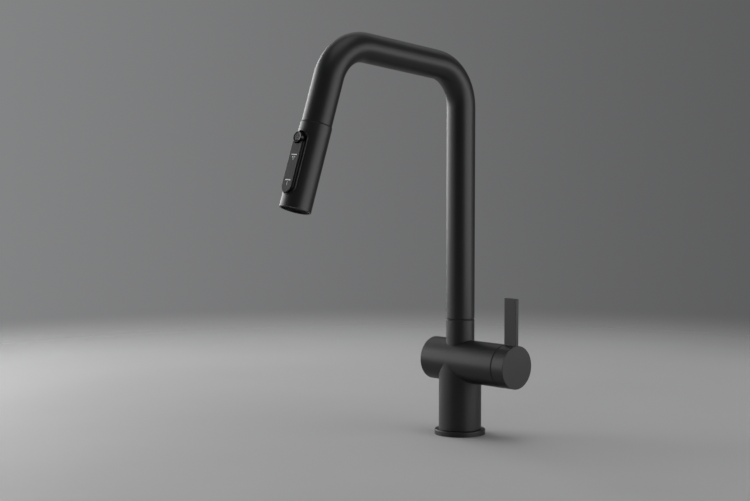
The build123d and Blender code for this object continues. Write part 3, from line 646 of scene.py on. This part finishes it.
# %% [markdown]
# ## Return spring
#
# A coil spring pushes the button back out. It is a helix: a small circle spun round an axis while it
# climbs. Blender's Screw modifier could wind it too, but the spin operator leaves a plain mesh. The
# spring sits under the button.

# %% Return spring
SPRING_TURNS = 4.5
SPRING_WIRE = 0.34 * MM
WIRE_SIDES = 10
STEPS_A_TURN = 32

button_at = sum(reach("pause_button", down_leg)) / 2


def return_spring():
    foot, top = reach("button_spring", out_front)
    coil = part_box("button_spring")[1].x - SPRING_WIRE
    start = on_head(coil, foot + SPRING_WIRE, button_at)
    climb = top - foot - 2 * SPRING_WIRE
    steps = round(SPRING_TURNS * STEPS_A_TURN)
    bm = bmesh.new()
    bmesh.ops.create_circle(bm, segments=WIRE_SIDES, radius=SPRING_WIRE, matrix=standing(start, down_leg))
    ring = list(bm.edges)
    spin(bm, ring, on_head(0, foot, button_at), out_front, 2 * pi * SPRING_TURNS, steps, climb)
    bmesh.ops.holes_fill(bm, edges=bm.edges)
    spring = add_piece("return_spring", bm, turned_steel, "spray_head")
    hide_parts("button_spring")
    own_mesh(spring)


return_spring()

# %% [markdown]
# ## Thread on the shank
#
# The shank under the base carries the mounting nut. Its solid is a plain tube, because a thread would add
# very many small faces to the CAD. Here a plain core comes off the lathe, and a ridge of flat-topped
# section is wound round it with the same spin as the spring. The section is in shares of the thread's
# depth and pitch.

# %% Shank thread
THREAD_PITCH = 2.0 * MM
THREAD_DEPTH = 0.7 * MM
RIDGE_SECTION = ((0.0, 0.0), (1.0, 0.35), (1.0, 0.5), (0.0, 0.85))
SHANK_SIDES = 64


def threaded_shank():
    low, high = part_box("shank")
    bore = min(vertex.co.xy.length for vertex in frame["nodes"]["shank"].data.vertices)
    core = high.x - THREAD_DEPTH
    wall = ((bore, low.z), (core, low.z), (core, high.z), (bore, high.z), (bore, low.z))
    bm = bmesh.new()
    lathe(bm, wall, Matrix.Identity(4), steps=SHANK_SIDES)
    ridge_low = low.z + THREAD_PITCH / 2
    turns = int(-ridge_low / THREAD_PITCH) - 1
    section = [(core + rise * THREAD_DEPTH, 0, ridge_low + along * THREAD_PITCH)
               for rise, along in RIDGE_SECTION]
    ridge = chain(bm, section)[1]
    spin(bm, ridge, Vector(), upwards, 2 * pi * turns, turns * STEPS_A_TURN, THREAD_PITCH * turns)
    shank = add_piece("threaded_shank", bm, turned_brass, "body")
    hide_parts("shank")


threaded_shank()

# %% [markdown]
# ## Slip ring behind the lever
#
# The lever's hub stands a hair off the barrel, and a thin black ring fills most of that gap, so that only
# a fine line shows. The ring turns with the lever but does not tilt with it. It is open at the bottom,
# where the hub's rim dips as the lever is lifted: a small section is spun round the barrel, short of a
# full turn.

# %% Slip ring
SLIP_SECTION = ((18.6, -0.77), (20.8, -0.77), (20.8, -0.22), (18.6, -0.22))
SLIP_OPENING = radians(70)
SLIP_STEPS = 80


def slip_ring():
    hub_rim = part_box("lever_hub")[0].x
    centre = Vector(joints["temperature"]["pos_m"]) + sideways * hub_rim
    place = standing(centre, sideways, -upwards) @ Matrix.Rotation(SLIP_OPENING / 2, 4, "Z")
    bm = bmesh.new()
    corners = [place @ Vector((radius, 0, height)) for radius, height in in_mm(SLIP_SECTION)]
    section = chain(bm, corners, closed=True)[1]
    spin(bm, section, centre, sideways, 2 * pi - SLIP_OPENING, SLIP_STEPS)
    bmesh.ops.holes_fill(bm, edges=bm.edges)
    add_piece("slip_ring", bm, faint_seam, "lever_ring")


slip_ring()

# %% [markdown]
# ## Inside the mouth
#
# Looking up into the spray head there is a ring of soft nozzle tips round a fine screen. A tip is a lathe
# profile, repeated on a circle. The screen could be a texture, but it would look flat from close by. So
# it starts as a grid, loses what lies outside the aerator, and the wireframe operator turns its edges
# into wires. A turned lip holds it.

# %% Nozzle tips and screen
NOZZLE_COUNT = 18
NOZZLE_CIRCLE = 8.65 * MM
TIP_PROFILE = ((0.45, -0.5), (0.45, 0.9), (0.75, 0.9), (1.05, 0.0))
TIP_SIDES = 12
SCREEN_RADIUS = 5.5 * MM
SCREEN_CELLS = 14
SCREEN_WIRE = 0.22 * MM
HOLDER_PROFILE = ((5.2, 0.0), (5.2, 0.5), (5.8, 0.5), (6.0, 0.3), (6.0, 0.0))


def nozzle_tips():
    face = reach("spray_face", down_leg)[1]
    bm = bmesh.new()
    for number in range(NOZZLE_COUNT):
        turn = 2 * pi * number / NOZZLE_COUNT
        spot = on_head(NOZZLE_CIRCLE * cos(turn), NOZZLE_CIRCLE * sin(turn), face)
        lathe(bm, in_mm(TIP_PROFILE), standing(spot, down_leg), steps=TIP_SIDES)
    add_piece("nozzle_tips", bm, matt_rubber, "spray_head")


def aerator_screen():
    face = reach("aerator", down_leg)[1]
    place = standing(on_head(down=face), down_leg)
    bm = bmesh.new()
    bmesh.ops.create_grid(bm, x_segments=SCREEN_CELLS, y_segments=SCREEN_CELLS, size=SCREEN_RADIUS)
    outside = [vertex for vertex in bm.verts if vertex.co.length > SCREEN_RADIUS]
    bmesh.ops.delete(bm, geom=outside, context="VERTS")
    bmesh.ops.wireframe(bm, faces=bm.faces, thickness=SCREEN_WIRE, use_replace=True, use_even_offset=True)
    bmesh.ops.translate(bm, verts=bm.verts, vec=(0, 0, SCREEN_WIRE))
    bmesh.ops.transform(bm, matrix=place, verts=bm.verts)
    lathe(bm, in_mm(HOLDER_PROFILE), place)
    add_piece("aerator_screen", bm, moulded_black, "spray_head")


nozzle_tips()
aerator_screen()

# %% [markdown]
# ## Panel lip
#
# A thin lip runs round the control panel and catches the light. Its outline is a stadium, a circle whose
# halves are moved apart. A bevelled curve could follow that outline, but the lip also bends with the
# round head. So four stadiums of different widths and heights are lifted to the head's surface, point by
# point, and bridged into one moulding.

# %% Panel lip
LIP_STEPS = 96
LIP_CREASE = 60
LIP_SECTION = ((0.0, -0.25), (0.08, 0.75), (0.5, 0.8), (0.75, -0.4))


def stadium(bm, top, end, width, inset, height):
    """A closed loop on the head's front. Its height out of the front depends on the place across."""
    made = bmesh.ops.create_circle(bm, segments=LIP_STEPS, radius=width / 2 - inset)
    middle, half = (top + end) / 2, (end - top - width) / 2
    for vertex in made["verts"]:
        across, down = vertex.co.x, vertex.co.y
        down += half if down > 0 else -half
        vertex.co = on_head(across, height(across), middle + down)
    return {edge for vertex in made["verts"] for edge in vertex.link_edges}


def bridge(bm, loops):
    for first, second in zip(loops, loops[1:]):
        bmesh.ops.bridge_loops(bm, edges=list(first | second))


def panel_lip():
    top, end = reach("panel_bezel", down_leg)
    low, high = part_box("panel_bezel")
    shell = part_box("head_shell")[1].x
    bm = bmesh.new()
    loops = []
    for inset, lift in in_mm(LIP_SECTION):
        loops.append(stadium(bm, top, end, high.x - low.x, inset,
                             lambda across: (shell ** 2 - across ** 2) ** 0.5 + lift))
    bridge(bm, loops)
    add_piece("panel_lip", bm, black_coat, "spray_head", crease=LIP_CREASE)


panel_lip()

# %% [markdown]
# ## Rocker boot and dock seal
#
# Two rubber pieces close gaps on the head. A boot joins the rocker's pad to the panel below it: six
# stadiums are bridged into a closed fold. A thin ring sits on the head's upper edge and shows as a line
# where head and leg meet.

# %% Boot and seal
BOOT_SECTION = ((0.0, 10.85), (-0.3, 12.2), (0.0, 13.55), (0.5, 13.55), (0.2, 12.2), (0.5, 10.85))
BOOT_WIDTH = 11.6 * MM
BOOT_MARGIN = 0.4 * MM
SEAL_PROFILE = ((14.05, -0.75), (14.35, -0.7), (14.45, 0.02), (14.05, 0.02), (14.05, -0.75))
SEAL_SIDES = 96


def rocker_boot():
    top = reach("pause_button", down_leg)[1] + BOOT_MARGIN
    end = reach("mode_rocker", down_leg)[1] - BOOT_MARGIN
    section = in_mm(BOOT_SECTION)
    bm = bmesh.new()
    loops = [stadium(bm, top, end, BOOT_WIDTH, inset, lambda across: height) for inset, height in section]
    bridge(bm, loops + loops[:1])
    boot = add_piece("rocker_boot", bm, matt_rubber)
    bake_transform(boot)


def dock_seal():
    place = standing(on_head(down=reach("head_shell", down_leg)[0]), down_leg)
    bm = bmesh.new()
    lathe(bm, in_mm(SEAL_PROFILE), place, steps=SEAL_SIDES)
    add_piece("dock_seal", bm, dark_seam, "spray_head")


rocker_boot()
dock_seal()

# %% [markdown]
# ## Button cap and rim
#
# The button's solid is a plain disc. On top of it go a flat satin cap with an engraved ring, and a
# polished rim that slopes up round the cap. They are two lathe profiles with two finishes. One profile
# would do for the shape, but then the finish would have to change along it.

# %% Button cap and rim
CAP_PROFILE = ((0.0, 0.06), (1.1, 0.06), (1.25, -0.05), (1.75, -0.05), (1.9, 0.06), (3.3, 0.06),
               (3.45, -0.05))
RIM_PROFILE = ((3.35, -0.05), (3.5, 0.03), (4.7, 0.33), (4.92, 0.28), (5.0, 0.1), (5.0, -0.3))
CAP_SIDES = 64


def on_button(name, profile, finish):
    """A turned piece on the button's face."""
    face = reach("pause_button", out_front)[1]
    bm = bmesh.new()
    lathe(bm, in_mm(profile), standing(on_head(0, face, button_at), out_front), steps=CAP_SIDES)
    add_piece(name, bm, finish, "pause_button")


on_button("button_cap", CAP_PROFILE, cap_satin)
on_button("button_rim", RIM_PROFILE, polished_button)

# %% [markdown]
# ## Printed signs
#
# Under each white bar there is a small sign: drops for the spray, a stroke for the stream. Print is very
# thin, so each is a flat face just over the pad. A mask in the pad's finish could draw them too, but
# faces stay sharp at any distance.

# %% Printed signs
INK_LIFT = 0.03 * MM
DROP_RADIUS = 0.42 * MM
DROP_SIDES = 16
DROP_STEP = 1.3 * MM
DROP_ROWS = (3, 2, 1)
STROKE_SIZE = (0.55 * MM, 3.6 * MM)
SIGN_GAP = 1.9 * MM


def printed_signs():
    face = reach("mode_rocker", out_front)[1] + INK_LIFT
    first_bar, last_bar = reach("mode_marks", down_leg)
    bm = bmesh.new()
    for row, count in enumerate(DROP_ROWS):
        for number in range(count):
            across = (number - (count - 1) / 2) * DROP_STEP
            spot = on_head(across, face, first_bar + SIGN_GAP + DROP_STEP * (row + 0.5))
            bmesh.ops.create_circle(bm, cap_ends=True, segments=DROP_SIDES, radius=DROP_RADIUS,
                                    matrix=standing(spot, out_front))
    wide, tall = STROKE_SIZE
    spot = on_head(0, face, last_bar + SIGN_GAP / 2 + tall / 2)
    stroke = bmesh.ops.create_grid(bm, x_segments=1, y_segments=1, size=0.5)
    shape = standing(spot, out_front) @ Matrix.Diagonal((wide, tall, 1, 1))
    bmesh.ops.transform(bm, matrix=shape, verts=stroke["verts"])
    add_piece("printed_signs", bm, white_ink, "mode_rocker")


printed_signs()

# %% [markdown]
# ## Floor
#
# The faucet stands on a plain pale disc. A hard edge would draw a horizon through the picture, and a
# curved backdrop would show from behind. So the disc fades out with the distance from its centre, through
# Alpha, and melts into the grey of the room. Near the object it stays solid, and keeps the shadow.

# %% Floor
FLOOR_RADIUS = 4.0
FLOOR_SIDES = 96
FLOOR_FADE = (0.55, 1.2)
FLOOR_TONES = ((0.43, 0.43, 0.43), (0.46, 0.46, 0.46))


def pale_floor():
    bm = bmesh.new()
    bmesh.ops.create_circle(bm, cap_ends=True, segments=FLOOR_SIDES, radius=FLOOR_RADIUS)
    mesh = bpy.data.meshes.new("floor")
    bm.to_mesh(mesh)
    bm.free()
    floor = bpy.data.objects.new("floor", mesh)
    bpy.context.scene.collection.objects.link(floor)
    finish = Finish("pale_floor", specular_ior_level=0.2)
    clouds, grain = finish.grain(grains=900, clouds=3)
    finish.tone(clouds, *FLOOR_TONES)
    finish.gloss(grain, 0.6, 0.7)
    away = finish.nodes.new("ShaderNodeVectorMath")
    away.operation = "LENGTH"
    finish.links.new(finish.position, away.inputs[0])
    fade = finish.remap(away.outputs["Value"], FLOOR_FADE, 1.0, 0.0)
    fade.node.interpolation_type = "SMOOTHSTEP"
    finish.links.new(fade, finish.shader.inputs["Alpha"])
    mesh.materials.append(finish.material)


pale_floor()
print("floor: solid to", FLOOR_FADE[0], "m, gone by", FLOOR_FADE[1], "m")

# %% [markdown]
# ## Room
#
# Black metal shows mostly what is round it, so the room matters. It is grey all round and paler behind,
# on the left. A picture of a room could light the scene, but a gradient in the world's own nodes does it
# with four nodes: the direction of sight is compared with one level direction.

# %% Room
ROOM_DARK = (0.1, 0.101, 0.103)
ROOM_PALE = (0.3, 0.303, 0.307)
ROOM_SWING = -120
ROOM_SPAN = (0.2, 1.0)


def level_way(swing):
    """A level direction, in degrees to the right of the camera as the object sees it."""
    return -level_sight * cos(radians(swing)) + picture_right * sin(radians(swing))


def grey_room():
    world = bpy.data.worlds.new("room")
    world.use_nodes = True
    nodes, links = world.node_tree.nodes, world.node_tree.links
    side = nodes.new("ShaderNodeVectorMath")
    side.operation = "DOT_PRODUCT"
    side.inputs[1].default_value = level_way(ROOM_SWING)
    links.new(nodes.new("ShaderNodeTexCoord").outputs["Generated"], side.inputs[0])
    ramp = nodes.new("ShaderNodeValToRGB")
    ramp.color_ramp.interpolation = "EASE"
    for element, place, grey in zip(ramp.color_ramp.elements, ROOM_SPAN, (ROOM_DARK, ROOM_PALE)):
        element.position = place
        element.color = (*grey, 1)
    links.new(side.outputs["Value"], ramp.inputs["Fac"])
    links.new(ramp.outputs["Color"], nodes["Background"].inputs["Color"])
    bpy.context.scene.world = world


grey_room()
print("room: palest", -ROOM_SWING, "degrees to the left of the camera")

# %% [markdown]
# ## Softboxes
#
# Each lamp draws one thing. A wide key softbox at the right, low enough to shine on the hub's face, gives
# the broad highlight on every tube. A wide one behind, on the left, draws the bright line down the leg
# and the riser. A low weak one fills the left sides. One overhead lifts the floor, and a high one at the
# back gives the arm its upper edge. The camera doesn't see the lamps themselves.

# %% Softboxes
LIGHT_AIM = Vector((0, -0.08, 0.2))


def softbox(name, swing, lift, distance, size, watts):
    """A lamp placed round the object, at a swing and a lift in degrees, aimed at its middle."""
    way = level_way(swing) * cos(radians(lift)) + upwards * sin(radians(lift))
    lamp = bpy.data.objects.new(name, bpy.data.lights.new(name, "AREA"))
    lamp.data.shape = "RECTANGLE"
    lamp.data.size, lamp.data.size_y = size
    lamp.data.energy = watts
    lamp.location = LIGHT_AIM + way * distance
    lamp.rotation_euler = (-way).to_track_quat("-Z", "Y").to_euler()
    lamp.visible_camera = False
    bpy.context.scene.collection.objects.link(lamp)
    print("lamp:", name, watts, "W")


softbox("key_softbox", swing=66, lift=4, distance=1.9, size=(2.5, 1.0), watts=25)
softbox("rim_softbox", swing=-128, lift=12, distance=1.7, size=(2.1, 1.0), watts=28)
softbox("low_fill", swing=-78, lift=-1, distance=1.9, size=(1.6, 0.4), watts=4)
softbox("top_softbox", swing=20, lift=82, distance=2.0, size=(1.6, 1.6), watts=11)
softbox("back_softbox", swing=175, lift=45, distance=2.0, size=(2.6, 0.9), watts=4.5)
